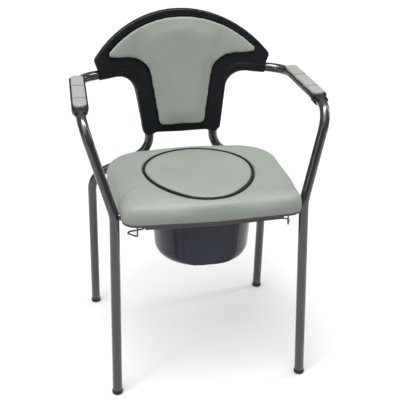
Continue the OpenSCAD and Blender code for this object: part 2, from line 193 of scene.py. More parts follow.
def plastic(name, base, edge, rough, grain=900.0, depth=0.15, coat=0.0, shine=0.35):
    """Moulded plastic: spark-eroded grain, flow marks, faint scuffs, and painted shade where a mesh
    attribute marks grooves.
    """
    f = Finish(name)
    flow = f.levels(f.noise(14.0, 5.0, 0.6, (1.0, 1.0, 0.35)), 0.35, 0.68)
    tone = f.blend(flow, base, edge)
    scuff = f.levels(f.noise(180.0, 2.0, 0.5, (1.0, 0.12, 1.0)), 0.66, 0.74)
    tone = f.blend(f.math("MULTIPLY", scuff, 0.04), tone, tuple(min(1.0, c * 2.2 + 0.02) for c in edge))
    # painted shade: the colour goes dark where a mesh attribute marks its sunken grooves and lines (only the
    # pan carries it)
    groove_shade = f.add("ShaderNodeAttribute", attribute_name="pressed_and_shaded").outputs["Fac"]
    f.set("Base Color", f.blend(groove_shade, tone, tuple(c * 0.2 for c in base)))
    f.set("Roughness", f.levels(f.noise(48.0, 4.0), 0.3, 0.7, rough - 0.05, rough + 0.09))
    f.set("Specular IOR Level", shine)
    f.set("Coat Weight", coat)
    f.set("Coat Roughness", 0.08)
    f.bump(f.cells(grain), depth, 0.00012)
    f.bump(f.noise(75.0, 3.0), 0.05, 0.0006)
    return f.material


def plywood(name):
    """Edge-glued birch plywood: long fibres and darker growth bands."""
    f = Finish(name)
    fibres = f.noise(90.0, 6.0, 0.62, (0.12, 1.0, 1.0))
    bands = f.noise(16.0, 3.0, 0.5, (0.15, 1.0, 1.4))
    tone = f.blend(f.levels(bands, 0.35, 0.65), (0.44, 0.29, 0.16), (0.30, 0.18, 0.09))
    tone = f.blend(f.levels(fibres, 0.5, 0.75), tone, (0.20, 0.11, 0.055))
    f.set("Base Color", tone)
    f.set("Roughness", f.levels(fibres, 0.3, 0.7, 0.52, 0.72))
    f.bump(fibres, 0.3, 0.0003)
    return f.material


def steel(name):
    """Zinc-plated screw steel: spangle and brushed marks."""
    f = Finish(name)
    spangle = f.levels(f.cells(420.0), 0.1, 0.6)
    tone = f.blend(spangle, (0.62, 0.62, 0.60), (0.44, 0.45, 0.46))
    f.set("Base Color", tone)
    f.set("Metallic", 1.0)
    f.set("Roughness", f.levels(f.noise(260.0, 4.0), 0.3, 0.7, 0.24, 0.42))
    f.bump(f.noise(700.0, 2.0, 0.5, (1.0, 0.1, 1.0)), 0.12, 0.0001)
    return f.material


def floor_finish(name):
    """Pale studio floor with a very faint mottling."""
    f = Finish(name)
    f.set("Base Color", f.blend(f.noise(1.5, 3.0), (0.88, 0.88, 0.88), (0.90, 0.90, 0.90)))
    f.set("Roughness", f.levels(f.noise(3.0, 3.0), 0.3, 0.7, 0.7, 0.8))
    f.set("Specular IOR Level", 0.1)
    return f.material


MATERIALS = {
    "frame_paint": paint("frame_epoxy", (0.023, 0.023, 0.028), 0.22, 0.25),
    "wire_paint": paint("wire_epoxy", (0.044, 0.044, 0.048), 0.30, 0.2),
    "foot_plastic": plastic("foot_rubber", (0.014, 0.014, 0.015), (0.022, 0.022, 0.023), 0.55, 700.0, 0.25),
    "shell_plastic": plastic("shell_black", (0.0050, 0.0066, 0.0086), (0.0070, 0.0090, 0.0115), 0.36,
                             1000.0, 0.08, 0.0, 0.18),
    "board_wood": plywood("pad_board"),
    "vinyl": vinyl("vinyl_grey", (0.308, 0.342, 0.301), (0.282, 0.316, 0.277)),
    "board_plastic": plastic("seat_base_grey", (0.060, 0.060, 0.063), (0.074, 0.074, 0.078), 0.38),
    "liner_plastic": plastic("liner_black", (0.012, 0.013, 0.015), (0.018, 0.019, 0.022), 0.34),
    "piping": vinyl("piping_black", (0.010, 0.012, 0.015), (0.006, 0.008, 0.010), 900.0, 0.0),
    "arm_base_plastic": plastic("arm_base_black", (0.008, 0.009, 0.012), (0.012, 0.014, 0.018), 0.28,
                                1000.0, 0.08, 0.0, 0.26),
    # painted shade: the seam threads are coloured dark to stand in for the shade in the arm pads' seam
    # grooves
    "seam_thread": vinyl("seam_grey", (0.130, 0.142, 0.126), (0.100, 0.112, 0.098), 1200.0, 0.0),
    "arm_foam": vinyl("arm_grey", (0.352, 0.368, 0.336), (0.322, 0.340, 0.308), 640.0),
    "pan_plastic": plastic("pan_navy", (0.009, 0.013, 0.029), (0.012, 0.017, 0.035), 0.20,
                           1400.0, 0.02, 0.1, 0.28),
    "clip_plastic": plastic("clip_black", (0.012, 0.012, 0.013), (0.018, 0.018, 0.019), 0.45),
    "screw_steel": steel("screw_zinc"),
}
for obj in frame["nodes"].values():
    obj.data.materials[0] = MATERIALS[obj.data.materials[0].name.split(".")[0]]


def bevel_edges(name, width):
    """Rounds a CAD part's sharp edges with modifiers only; its own mesh is kept."""
    obj = frame["nodes"][name]
    weld = obj.modifiers.new("weld", "WELD")
    weld.merge_threshold = 0.00002
    bevel = obj.modifiers.new("bevel", "BEVEL")
    bevel.width = width
    bevel.segments = 3
    bevel.limit_method = "ANGLE"
    bevel.angle_limit = math.radians(35)
    bevel.harden_normals = False
    normals = obj.modifiers.new("normals", "WEIGHTED_NORMAL")
    normals.keep_sharp = True


# ---------------------------------------------------------------- mesh tools

def new_piece(name, points, faces, slot, body):
    mesh = bpy.data.meshes.new(name)
    mesh.from_pydata([tuple(p) for p in points], [], faces)
    mesh.validate()
    bm = bmesh.new()
    bm.from_mesh(mesh)
    bmesh.ops.recalc_face_normals(bm, faces=bm.faces)
    bm.to_mesh(mesh)
    bm.free()
    for polygon in mesh.polygons:
        polygon.use_smooth = True
    mesh.materials.append(MATERIALS[slot])
    obj = bpy.data.objects.new(name, mesh)
    SCENE.collection.objects.link(obj)
    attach(obj, body)
    return obj


def tube_faces(rows, columns, wrap_rows=False):
    """Quads of a grid that closes on itself across its columns."""
    faces = []
    for i in range(rows if wrap_rows else rows - 1):
        for j in range(columns):
            k = (j + 1) % columns
            n = (i + 1) % rows
            faces.append((i * columns + j, i * columns + k, n * columns + k, n * columns + j))
    return faces


def capped_tube(rows, columns):
    """The faces of a tube that is closed at both ends."""
    last = (rows - 1) * columns
    return tube_faces(rows, columns) + [tuple(range(columns)), tuple(last + i for i in range(columns))]


def get_points(obj):
    """A mesh's points as an array."""
    co = np.zeros(len(obj.data.vertices) * 3, np.float32)
    obj.data.vertices.foreach_get("co", co)
    return co.reshape(-1, 3).astype(float)


def set_points(obj, points):
    """Writes an array of points back into a mesh."""
    obj.data.vertices.foreach_set("co", points.astype(np.float32).ravel())
    obj.data.update()


def get_normals(obj):
    """A mesh's point normals as an array."""
    no = np.zeros(len(obj.data.vertices) * 3, np.float32)
    obj.data.vertices.foreach_get("normal", no)
    return no.reshape(-1, 3).astype(float)


def hull_2d(points):
    """The convex outline of flat points."""
    pts = sorted(set((round(float(x), 6), round(float(y), 6)) for x, y in points))

    def half(seq):
        out = []
        for p in seq:
            while len(out) > 1 and ((out[-1][0] - out[-2][0]) * (p[1] - out[-2][1])
                                    - (out[-1][1] - out[-2][1]) * (p[0] - out[-2][0])) <= 0:
                out.pop()
            out.append(p)
        return out[:-1]

    return np.array(half(pts) + half(pts[::-1]))


def around(polygon, centre, count):
    """Points where count even rays from centre meet a closed outline."""
    a = polygon - centre
    b = np.roll(polygon, -1, axis=0) - centre
    out = []
    for i in range(count):
        t = 2 * math.pi * i / count
        u = np.array([math.cos(t), math.sin(t)])
        e = b - a
        cross = u[0] * e[:, 1] - u[1] * e[:, 0]
        cross = np.where(np.abs(cross) < 1e-12, 1e-12, cross)
        r = (a[:, 0] * e[:, 1] - a[:, 1] * e[:, 0]) / cross
        s = (a[:, 0] * u[1] - a[:, 1] * u[0]) / cross
        hit = r[(s >= -1e-6) & (s <= 1 + 1e-6) & (r > 0)]
        out.append(centre + u * (hit.max() if len(hit) else 0))
    return np.array(out)


def smoothed(ring, rounds):
    """A closed ring of points, each drawn towards its two neighbours."""
    for _ in range(rounds):
        ring = ring * 0.5 + (np.roll(ring, 1, axis=0) + np.roll(ring, -1, axis=0)) * 0.25
    return ring


def outward(ring):
    """Unit normals of a closed ring of points that runs anticlockwise."""
    t = np.roll(ring, -1, axis=0) - np.roll(ring, 1, axis=0)
    n = np.stack([t[:, 1], -t[:, 0]], 1)
    return n / np.linalg.norm(n, axis=1)[:, None]


def apply_all(obj):
    """Turns a piece's modifiers into its mesh."""
    graph = bpy.context.evaluated_depsgraph_get()
    graph.update()
    made = bpy.data.meshes.new_from_object(obj.evaluated_get(graph), depsgraph=graph)
    obj.modifiers.clear()
    old = obj.data
    obj.data = made
    bpy.data.meshes.remove(old)


def evened(obj, field, rounds, held):
    """Averages a movement with that of its neighbours, round after round; held points stay."""
    count = len(field)
    ends = np.zeros(len(obj.data.edges) * 2, np.int32)
    obj.data.edges.foreach_get("vertices", ends)
    a, b = ends[::2], ends[1::2]
    degree = np.maximum(np.bincount(a, minlength=count) + np.bincount(b, minlength=count), 1)[:, None]
    for _ in range(rounds):
        sums = [np.bincount(a, field[b, k], count) + np.bincount(b, field[a, k], count)
                for k in range(3)]
        field = field * 0.4 + np.stack(sums, 1) / degree * 0.6
        field[held] = 0.0
    return field


def puff(obj, pressure, cap, held, rounds, raw, stiff, frames=20):
    """Lets a closed cloth form swell with pressure, never further than cap from its start."""
    start = get_points(obj)
    held = np.array(held, int)
    mod = obj.modifiers.new("cloth", "CLOTH")
    cloth = mod.settings
    cloth.quality = 5
    cloth.mass = 0.3
    cloth.tension_stiffness = stiff
    cloth.compression_stiffness = stiff
    cloth.shear_stiffness = 5.0
    cloth.bending_stiffness = 0.6
    cloth.use_pressure = True
    cloth.uniform_pressure_force = pressure
    cloth.effector_weights.gravity = 0.0
    mod.collision_settings.use_collision = False
    mod.collision_settings.use_self_collision = False
    group = obj.vertex_groups.new(name="held")
    group.add([int(i) for i in held], 1.0, "REPLACE")
    cloth.vertex_group_mass = "held"
    mod.point_cache.frame_start = 1
    mod.point_cache.frame_end = frames
    for f in range(1, frames + 1):
        SCENE.frame_set(f)
    apply_all(obj)
    move = get_points(obj) - start
    size = np.linalg.norm(move, axis=1)
    move *= np.minimum(1.0, cap / np.maximum(size, 1e-9))[:, None]
    even = evened(obj, move.copy(), rounds, held)
    set_points(obj, start + even * (1 - raw) + move * raw)
    SCENE.frame_set(1)


def tree_of(obj):
    """A search tree over a mesh, for nearest points and rays."""
    mesh = obj.data
    return BVHTree.FromPolygons([v.co for v in mesh.vertices], [list(q.vertices) for q in mesh.polygons])


def kept_clear(obj, node, gap, near):
    """Moves the points of a piece that touch a CAD part out to a small gap from it, softly."""
    tree = tree_of(frame["nodes"][node])
    for rounds in (12, 4):
        p = get_points(obj)
        move = np.zeros_like(p)
        for i in np.nonzero(near(p))[0]:
            place, normal, _, away = tree.find_nearest(Vector(p[i]))
            if away < 0.004 and (Vector(p[i]) - place).dot(normal) < gap:
                move[i] = np.array(place + normal * gap) - p[i]
        if not move.any():
            return
        soft = evened(obj, move.copy(), rounds, np.array([], int))
        further = np.linalg.norm(soft, axis=1) > np.linalg.norm(move, axis=1)
        set_points(obj, p + np.where(further[:, None], soft, move))


def relax(obj, rounds, factor=0.5):
    """Evens a mesh out with plain smoothing."""
    mod = obj.modifiers.new("smooth", "SMOOTH")
    mod.iterations = rounds
    mod.factor = factor
    apply_all(obj)


def finer(obj):
    """Subdivides a piece once and shades it smooth."""
    mod = obj.modifiers.new("subdivision", "SUBSURF")
    mod.levels = 1
    mod.render_levels = 1
    apply_all(obj)
    for polygon in obj.data.polygons:
        polygon.use_smooth = True


def bell(distance, width):
    """A smooth bump: 1 at no distance, close to 0 from twice the width on."""
    return np.exp(-(distance / width) ** 2)


# ---------------------------------------------------------------- seat cushion

# How far the cover is turned in under the cushion, in millimetres.
SKIRT_LAP = 8.3
SEAT_LOW, SEAT_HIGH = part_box("seat_cushion")
RING_LOW, RING_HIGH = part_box("plug_piping")
RING_CENTRE = np.array([0.0, (RING_LOW.y + RING_HIGH.y) / 2])
CORD = RING_HIGH.z - RING_LOW.z


def ring_outline(grow):
    """The plug's egg-shaped outline, from the CAD cord's outer edge, moved out by grow."""
    outline = hull_2d(get_points(frame["nodes"]["plug_piping"])[:, :2])
    ring = smoothed(around(outline, RING_CENTRE, 360), 3)
    return ring + outward(ring) * grow


def seat_relief(p):
    """How far the top of the cushion drops at each point: a crease at each side, soft hollows."""
    x = np.abs(p[:, 0]) / MM
    y = (p[:, 1] - FEET_Y) / MM
    path = np.array([(214, 8), (205, 30), (194, 50), (178, 66), (158, 76), (138, 82)], float)
    drop = np.zeros(len(p))
    nearest = np.full(len(p), 1e9)
    along = np.zeros(len(p))
    side = np.zeros(len(p))
    for i in range(len(path) - 1):
        a, b = path[i], path[i + 1]
        e = b - a
        t = np.clip(((x - a[0]) * e[0] + (y - a[1]) * e[1]) / (e @ e), 0, 1)
        qx, qy = a[0] + t * e[0], a[1] + t * e[1]
        d = np.hypot(x - qx, y - qy)
        better = d < nearest
        nearest = np.where(better, d, nearest)
        along = np.where(better, (i + t) / (len(path) - 1), along)
        # positive on the rear side of the crease
        side = np.where(better, np.sign(e[0] * (y - qy) - e[1] * (x - qx)) * -1, side)
    fade = np.clip(1.05 - along, 0, 1) ** 1.1
    signed = nearest * side
    drop += 3.8 * fade * bell(nearest, 6.0)
    drop += 7.0 * fade * np.where(signed > 0, bell(signed, 50.0), bell(signed, 9.0))
    drop *= np.where(p[:, 0] < 0, 1.0, 0.25)
    return drop * MM


def seat_piece():
    """The seat cushion's cover, with its hole, its creases and its skirt."""
    source = get_points(frame["nodes"]["seat_cushion"])
    outline = hull_2d(source[:, :2])
    count = 300
    outer = smoothed(around(outline, RING_CENTRE, count), 2)
    inner = around(ring_outline(0.0004), RING_CENTRE, count)
    out_n, in_n = outward(outer), outward(inner)
    room = np.linalg.norm(outer - inner, axis=1) / MM
    fit = np.minimum(1.0, room / 58.0)[:, None]
    base, top = SEAT_LOW.z, SEAT_HIGH.z
    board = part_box("seat_base")[1].z + 0.0006
    sides = [
        (SKIRT_LAP, base + 0.0008, 1), (7.6, base + 0.0003, 1),
        (1.2, base + 0.0003, 1), (0.6, base + 0.0010, 1),
        (0.5, base + 0.004, 0), (0.4, base + 0.008, 0), (0.4, base + 0.012, 0), (0.5, base + 0.016, 0),
        (0.9, base + 0.020, 0), (1.6, base + 0.024, 0), (2.8, base + 0.028, 0), (4.6, base + 0.0315, 0),
        (7.0, base + 0.0345, 0), (10.2, base + 0.037, 0), (14.2, base + 0.0389, 0), (18.8, base + 0.0403, 0),
        (24.0, base + 0.0413, 0), (30.0, base + 0.0419, 0),
    ]
    lip = [
        (13.0, top - 0.0011, 0), (8.0, top - 0.0011, 0), (4.6, top - 0.0014, 0), (2.4, top - 0.0022, 0),
        (1.0, top - 0.0038, 0), (0.4, top - 0.0062, 1), (0.4, top - 0.012, 1), (0.4, board, 1),
    ]
    rows, held = [], []
    for inset, z, hold in sides:
        scale = 1 if inset == SKIRT_LAP else fit
        rows.append((np.column_stack([outer - out_n * inset * MM * scale, np.full(count, z)]), hold))
    edge, rim = outer - out_n * 34 * MM * fit, inner + in_n * 17 * MM * fit
    for s in np.linspace(0.0, 1.0, 11):
        flat = edge * (1 - s) + rim * s
        z = top - 0.0009 + 0.0006 * math.sin(s * math.pi)
        rows.append((np.column_stack([flat, np.full(count, z)]), 0))
    for inset, z, hold in lip:
        rows.append((np.column_stack([inner + in_n * inset * MM * fit, np.full(count, z)]), hold))
    under = outer - out_n * SKIRT_LAP * MM
    for s in (0.25, 0.5, 0.75):
        flat = inner * (1 - s) + under * s
        rows.append((np.column_stack([flat, np.full(count, board)]), 1))
    rows.append((np.column_stack([under, np.full(count, board)]), 1))
    pts = np.concatenate([r for r, _ in rows])
    for i, (_, hold) in enumerate(rows):
        if hold:
            held.extend(range(i * count, (i + 1) * count))
    obj = new_piece("seat_cushion_cover", pts, tube_faces(len(rows), count, True), "vinyl", "chair")
    puff(obj, 2.2, 0.0036, held, 30, 0.08, 16.0)
    p = get_points(obj)
    share = np.clip((p[:, 2] - (base + 0.008)) / 0.024, 0, 1)
    p[:, 2] -= seat_relief(p) * share
    # where the crease meets the left side, the cover is drawn in a little
    reach = np.abs(p[:, 0]) / MM
    left = p[:, 0] < 0
    y = (p[:, 1] - FEET_Y) / MM
    pull = 3.0 * bell(y - 28, 11) * np.clip((reach - 180) / 20, 0, 1)
    pull = pull * np.clip((p[:, 2] - base) / 0.03, 0, 1)
    p[:, 0] += np.where(left, pull, 0.0) * MM
    # the front corners stand out beside the legs
    front = np.clip((14 - y) / 24, 0, 1) * np.clip((reach - 150) / 45, 0, 1)
    p[:, 0] += np.where(left, -1.4, 0.8) * front * np.clip((p[:, 2] - base) / 0.006, 0.3, 1) * MM
    # and the sides behind them run out in one easy curve
    flank = bell(y - 100, 62) * np.clip((reach - 120) / 60, 0, 1) * np.where(left, 0.0, 5.5)
    p[:, 0] += flank * MM
    set_points(obj, p)
    for node in ("left_side_tube", "right_side_tube"):
        kept_clear(obj, node, 0.0006, lambda q: np.abs(q[:, 0]) > 0.17)
    finer(obj)
    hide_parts("seat_cushion")


# ---------------------------------------------------------------- lift-out plug

def cord_radius(ring):
    """Half the cord's thickness: it stands prouder along the front of the plug."""
    ahead = np.clip((RING_CENTRE[1] + 0.02 - ring[:, 1]) / 0.13, 0, 1)
    return CORD / 2 * (1 + 0.42 * ahead)


def cord_piece():
    """The piping: a round cord sewn round the plug, with a seam ridge along its inside."""
    count, sides = 260, 14
    ring = around(ring_outline(0.0), RING_CENTRE, count)
    n = outward(ring)
    radius = cord_radius(ring)
    middle = ring - n * radius[:, None]
    z = (RING_LOW.z + RING_HIGH.z) / 2 + (radius - CORD / 2) * 1.1
    pts = []
    for i in range(count):
        for k in range(sides):
            a = 2 * math.pi * k / sides
            r = radius[i] * (1.0 + 0.10 * max(0.0, math.cos(a - 2.4)) ** 6)
            r *= 1.0 + 0.012 * math.sin(i * 1.9) * math.sin(i * 0.31)
            flat = middle[i] + n[i] * r * math.cos(a)
            pts.append((flat[0], flat[1], z[i] + r * math.sin(a)))
    obj = new_piece("plug_cord", pts, tube_faces(count, sides, True), "piping", "plug")
    finer(obj)
    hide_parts("plug_piping")


def plug_piece():
    """The plug's cover: a low domed pad inside its cord, dished on the left."""
    low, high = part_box("plug_cushion")
    count = 220
    edge = around(ring_outline(0.0), RING_CENTRE, count)
    ring = edge - outward(edge) * (cord_radius(edge) * 2 - 0.0008)[:, None]
    n = outward(ring)
    z0, z1 = low.z, high.z
    profile = [
        (30, z0, 1), (3.0, z0, 1), (1.2, z0 + 0.0008, 1), (0.8, z0 + 0.003, 1), (0.8, z0 + 0.006, 1),
        (0.8, z0 + 0.009, 0), (0.9, z0 + 0.0115, 0), (1.6, z0 + 0.0135, 0), (3.2, z1 - 0.0020, 0),
        (6.0, z1 - 0.0011, 0), (10.0, z1 - 0.0006, 0), (16.0, z1 - 0.0003, 0),
    ]
    rows, held = [], []
    for inset, z, hold in profile:
        rows.append(np.column_stack([ring - n * inset * MM, np.full(count, z)]))
        if hold:
            held.extend(range((len(rows) - 1) * count, len(rows) * count))
    start = ring - n * 16 * MM
    for s in np.linspace(0.0, 1.0, 16)[1:-1]:
        flat = start * (1 - s) + RING_CENTRE * s
        rows.append(np.column_stack([flat, np.full(count, z1 - 0.0003 + 0.0003 * s)]))
    pts = np.concatenate(rows)
    faces = tube_faces(len(rows), count)
    pts = np.vstack([pts, [[*RING_CENTRE, z1]], [[*RING_CENTRE, z0]]])
    last, top, bottom = (len(rows) - 1) * count, len(pts) - 2, len(pts) - 1
    for j in range(count):
        faces.append((last + j, last + (j + 1) % count, top))
        faces.append((j, bottom, (j + 1) % count))
    held.append(bottom)
    obj = new_piece("plug_cover", pts, faces, "vinyl", "plug")
    puff(obj, 1.4, 0.0030, held, 24, 0.08, 16.0)
    p = get_points(obj)
    share = np.clip((p[:, 2] - (z0 + 0.010)) / 0.004, 0, 1)
    x, y = p[:, 0] / MM, (p[:, 1] - FEET_Y) / MM
    # dished on the left, and its front edge stands level with the thicker cord
    dish = 6.0 * bell(np.hypot(x + 60, (y - 175) * 0.9), 46)
    dish = dish + 2.0 * bell(np.hypot(x - 20, (y - 170) * 0.8), 80)
    rise = 1.6 * np.clip((RING_CENTRE[1] - FEET_Y) / MM - y, 0, 130) / 130
    p[:, 2] += (rise - dish) * share * MM
    set_points(obj, p)
    finer(obj)
    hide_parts("plug_cushion")


# ---------------------------------------------------------------- remeshed pads

def remeshed(name, source, voxel, slot, shrink):
    """A copy of a CAD pad with even quads, drawn in a little so that it can swell."""
    mesh = frame["nodes"][source].data.copy()
    mesh.name = name
    obj = bpy.data.objects.new(name, mesh)
    SCENE.collection.objects.link(obj)
    weld = obj.modifiers.new("weld", "WELD")
    weld.merge_threshold = 0.00002
    again = obj.modifiers.new("remesh", "REMESH")
    again.mode = "VOXEL"
    again.voxel_size = voxel
    apply_all(obj)
    set_points(obj, get_points(obj) - get_normals(obj) * shrink)
    obj.data.materials.clear()
    obj.data.materials.append(MATERIALS[slot])
    for polygon in obj.data.polygons:
        polygon.use_smooth = True
    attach(obj, "chair")
    return obj


def back_pad_piece():
    """The backrest pad's cover, with its hollow middle and small gathers."""
    obj = remeshed("backrest_pad_cover", "backrest_pad", 0.0042, "vinyl", 0.0012)
    relax(obj, 6)
    held = np.nonzero(get_normals(obj)[:, 1] > 0.3)[0]
    puff(obj, 3.2, 0.006, held, 16, 0.10, 14.0)
    relax(obj, 2)
    p = get_points(obj)
    n = get_normals(obj)
    low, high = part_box("backrest_pad")
    front = np.clip(-n[:, 1], 0, 1)
    x = p[:, 0] / MM
    z = (p[:, 2] - low.z) / (high.z - low.z)
    # the middle of the pad lies a little below its rim
    hollow = 2.6 * bell(x, 85) * bell(z - 0.62, 0.34)
    # small gathers where the cover is drawn over the bottom edge
    gathers = ((-14, 0.03, 0.5), (-3, 0.05, 1.1), (7, 0.07, 1.3), (22, 0.05, 1.0), (32, 0.03, 0.7))
    gather = sum(bell(x - at, 1.9) * bell(z - 0.005, reach) * deep for at, reach, deep in gathers)
    p += (-n) * ((hollow + gather) * front * MM)[:, None]
    set_points(obj, p)
    finer(obj)
    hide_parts("backrest_pad")


def arm_axes(name):
    """The middle, length direction, width direction and up direction of an arm pad."""
    p = get_points(frame["nodes"][name])
    middle = (p.max(0) + p.min(0)) / 2
    spread = np.linalg.svd(p - p.mean(0), full_matrices=False)[2]
    along = spread[0] * np.sign(spread[0][1])
    across = spread[1] * np.sign(spread[1][0])
    up = np.cross(across, along)
    up *= np.sign(up[2])
    return middle, along, across, up


def arm_pad_piece(side):
    """An arm pad's cover, round at both ends and drawn in at its two seams."""
    source = side + "_arm_pad"
    obj = remeshed(side + "_arm_pad_cover", source, 0.0022, "arm_foam", 0.0006)
    middle, along, across, up = arm_axes(source)
    relax(obj, 5)
    p = get_points(obj)
    q = p - middle
    length = (q @ along).max() - (q @ along).min()
    wide = np.abs(q @ across).max()
    low = (q @ up).min()
    y = q @ along + length / 2
    # both ends are round, the front one most
    from_front = np.clip((0.017 - y) / 0.017, 0, 1)
    from_rear = np.clip((y - length + 0.010) / 0.010, 0, 1)
    narrow = np.sqrt(1 - 0.80 * from_front ** 2) * np.sqrt(1 - 0.55 * from_rear ** 2)
    p += np.outer((q @ across) * (narrow - 1), across)
    set_points(obj, p)
    q = p - middle
    seams = [share * length for share in ARM_SEAMS]
    bow = SEAM_BOW * (1 - (q @ across / wide) ** 2)
    near = sum(bell(y - s - bow, 0.0021) for s in seams)
    held = np.nonzero((q @ up < low + 0.0062) | (near > 0.6))[0]
    puff(obj, 5.0, 0.0026, held, 8, 0.3, 12.0)
    relax(obj, 1)
    finer(obj)
    p = get_points(obj)
    q = p - middle
    y = q @ along + length / 2
    bow = SEAM_BOW * (1 - (q @ across / wide) ** 2)
    groove = sum(bell(y - s - bow, 0.0016) for s in seams)
    share = np.clip((q @ up - low - 0.0045) / 0.003, 0, 1)
    p -= np.outer(groove * share * 0.0009, up)
    set_points(obj, p)
    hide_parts(source)


def arm_tray_piece(side):
    """The moulded arm base with soft edges."""
    source = side + "_arm_base"
    obj = remeshed(side + "_arm_tray", source, 0.0013, "arm_base_plastic", 0.0)
    relax(obj, 4)
    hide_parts(source)


def surface_below(tree, start, down):
    """Where a ray from start meets a mesh."""
    return np.array(tree.ray_cast(Vector(start), Vector(down))[0])


def arm_nose_piece(side):
    """The rounded front of the arm base, which closes down on to the top of the tube."""
    middle, along, across, up = arm_axes(side + "_arm_pad")
    tray = get_points(frame["nodes"][side + "_arm_base"]) - middle
    front, crest = (tray @ along).min(), (tray @ up).max()
    tree = tree_of(frame["nodes"][side + "_side_tube"])
    # half widths where the nose leaves the tray and where it ends on the tube, and its length
    at_tray, at_tube, reach = 0.0176, 0.0122, 0.0245
    steps, sides = 14, 24
    pts = []
    for k in range(steps):
        t = k / (steps - 1)
        l = front + 0.005 - reach * t
        swell = math.sqrt(max(0.0, 1 - t ** 2.0))
        over = surface_below(tree, middle + along * l + up * 0.05, -up)
        top = (over - middle) @ up
        high = top + 0.0012 + (crest - 0.0004 - top - 0.0012) * swell
        half = at_tube + (at_tray - at_tube) * (1 - t) ** 0.85
        foot = top - 0.0115 + 0.004 * t ** 2
        for i in range(sides + 1):
            a = math.pi * i / sides
            x = half * math.copysign(abs(math.cos(a)) ** 0.7, math.cos(a))
            z = foot + (high - foot) * math.sin(a) ** 0.7
            pts.append(middle + along * l + across * x + up * z)
    new_piece(side + "_arm_nose", pts, capped_tube(steps, sides + 1), "arm_base_plastic", "chair")


def arm_seam_piece(side, number, share):
    """A stitched seam across an arm pad: a twisted thread that lies in the pad's groove, coloured dark as
    painted shade of the groove.
    """
    middle, along, across, up = arm_axes(side + "_arm_pad")
    tree = tree_of(bpy.data.objects[side + "_arm_pad_cover"])
    q = get_points(frame["nodes"][side + "_arm_pad"]) - middle
    length = (q @ along).max() - (q @ along).min()
    wide = np.abs(q @ across).max()
    steps, sides = 60, 8
    pts = []
    for k in range(steps):
        x = (2 * k / (steps - 1) - 1) * (wide - 0.0022)
        l = share * length - length / 2 + SEAM_BOW * (1 - (x / wide) ** 2)
        place = surface_below(tree, middle + along * l + across * x + up * 0.05, -up)
        for i in range(sides):
            a = 2 * math.pi * i / sides
            r = 0.0009 * (1 + 0.14 * math.sin(k * 1.3 + a))
            pts.append(place + along * r * math.cos(a) + up * (r * math.sin(a) + 0.0004))
    faces = capped_tube(steps, sides)
    obj = new_piece("%s_arm_seam_%d" % (side, number), pts, faces, "arm_foam", "chair")
    # its dark colour is painted shade for the seam groove
    obj.data.materials[0] = MATERIALS["seam_thread"]


def moulded_shell(name, source):
    """A blow-moulded half of the backrest: soft edges, sleeves that flow into the panel."""
    obj = remeshed(name, source, 0.0026, "shell_plastic", 0.0)
    relax(obj, 7, 0.6)
    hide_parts(source)


